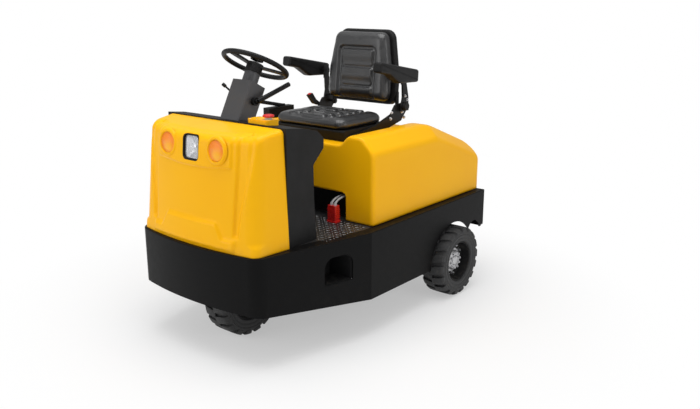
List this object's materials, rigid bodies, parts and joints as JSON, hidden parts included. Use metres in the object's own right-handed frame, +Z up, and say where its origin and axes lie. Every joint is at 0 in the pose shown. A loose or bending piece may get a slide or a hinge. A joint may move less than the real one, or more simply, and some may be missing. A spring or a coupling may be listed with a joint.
{
  "type": "airport tow tractor",
  "caption": "Sit-on electric tow tractor with one steered front wheel, two rear wheels, a lifting battery hood that carries the seat, a leaning steering column and a rear tow jaw.",
  "frame": {"origin": "on the ground under the middle of the overall length and width", "axes": "+Z up, -Y towards the front of the vehicle, +X towards its left side"},
  "size_m": [1.252, 1.94, 1.5442],
  "materials": {
    "skirt_paint": "satin black paint",
    "frame_paint": "matt black paint",
    "yellow_panel": "gloss yellow paint",
    "amber_lens": "amber lens",
    "clear_lens": "clear lens over a bright reflector",
    "black_plastic": "grained black plastic",
    "grey_sheet": "dark grey paint",
    "wheel_rim_foam": "soft black grip",
    "red_plastic": "red plastic",
    "battery_case": "steel battery case",
    "lead_rubber": "grey rubber",
    "tyre_rubber": "black rubber",
    "rim_paint": "black paint",
    "bare_hub": "bright worn steel",
    "seat_vinyl": "black vinyl",
    "arm_pad": "black moulded foam"
  },
  "bodies": {
    "chassis": {"front_skirt": "skirt_paint", "left_side_panel": "skirt_paint", "right_side_panel": "skirt_paint", "rear_plate": "skirt_paint", "deck_plate": "frame_paint", "main_frame": "frame_paint", "rear_axle": "frame_paint", "front_cowl": "yellow_panel", "amber_lamps": "amber_lens", "headlamp": "clear_lens", "dash_console": "black_plastic", "steering_column": "grey_sheet", "direction_lever": "black_plastic", "signal_lever": "black_plastic", "emergency_stop_box": "yellow_panel", "emergency_stop_button": "red_plastic", "pedals": "frame_paint", "battery_block": "battery_case", "battery_connector": "red_plastic", "battery_leads": "lead_rubber", "tow_hitch": "frame_paint", "hood_hinges": "frame_paint"},
    "fork": {"front_fork": "frame_paint"},
    "front_wheel": {"front_tyre": "tyre_rubber", "front_rim": "rim_paint"},
    "rear_left_wheel": {"rear_left_tyre": "tyre_rubber", "rear_left_rim": "rim_paint", "rear_left_hub": "bare_hub"},
    "rear_right_wheel": {"rear_right_tyre": "tyre_rubber", "rear_right_rim": "rim_paint", "rear_right_hub": "bare_hub"},
    "steering_wheel": {"steering_wheel": "wheel_rim_foam"},
    "hood": {"hood_shell": "yellow_panel", "hood_hinge_leaves": "frame_paint", "seat_pan": "black_plastic", "seat_cushion": "seat_vinyl", "seat_side_frames": "frame_paint", "recline_knob": "black_plastic", "belt_buckle": "black_plastic", "brake_lever": "black_plastic"},
    "backrest": {"backrest_cushion": "seat_vinyl", "backrest_shell": "black_plastic"},
    "left_armrest": {"left_armrest": "arm_pad"},
    "right_armrest": {"right_armrest": "arm_pad"}
  },
  "joints": [
    {"name": "steer", "type": "hinge", "parent": "chassis", "child": "fork", "pos_m": [0, -0.619, 0.45], "axis": [0, 0, 1], "range_deg": [-70, 70]},
    {"name": "front_roll", "type": "hinge", "parent": "fork", "child": "front_wheel", "pos_m": [0, -0.619, 0.2075], "axis": [1, 0, 0], "continuous": true},
    {"name": "rear_left_roll", "type": "hinge", "parent": "chassis", "child": "rear_left_wheel", "pos_m": [0.551, 0.549, 0.2075], "axis": [1, 0, 0], "continuous": true},
    {"name": "rear_right_roll", "type": "hinge", "parent": "chassis", "child": "rear_right_wheel", "pos_m": [-0.551, 0.549, 0.2075], "axis": [1, 0, 0], "continuous": true},
    {"name": "steering_wheel_turn", "type": "hinge", "parent": "chassis", "child": "steering_wheel", "pos_m": [0, -0.475, 1.396], "axis": [0, 0.4633, 0.8862], "range_deg": [-285, 285]},
    {"name": "hood_open", "type": "hinge", "parent": "chassis", "child": "hood", "pos_m": [0, 0.915, 0.592], "axis": [-1, 0, 0], "range_deg": [0, 60]},
    {"name": "backrest_recline", "type": "hinge", "parent": "hood", "child": "backrest", "pos_m": [0, 0.416, 1.104], "axis": [-1, 0, 0], "range_deg": [-4, 16]},
    {"name": "left_armrest_fold", "type": "hinge", "parent": "hood", "child": "left_armrest", "pos_m": [0.335, 0.402, 1.288], "axis": [-1, 0, 0], "range_deg": [0, 80]},
    {"name": "right_armrest_fold", "type": "hinge", "parent": "hood", "child": "right_armrest", "pos_m": [-0.335, 0.402, 1.288], "axis": [-1, 0, 0], "range_deg": [0, 80]}
  ],
  "couplings": [
    {"joint": "steering_wheel_turn", "follows": "steer", "ratio": 4}
  ]
}
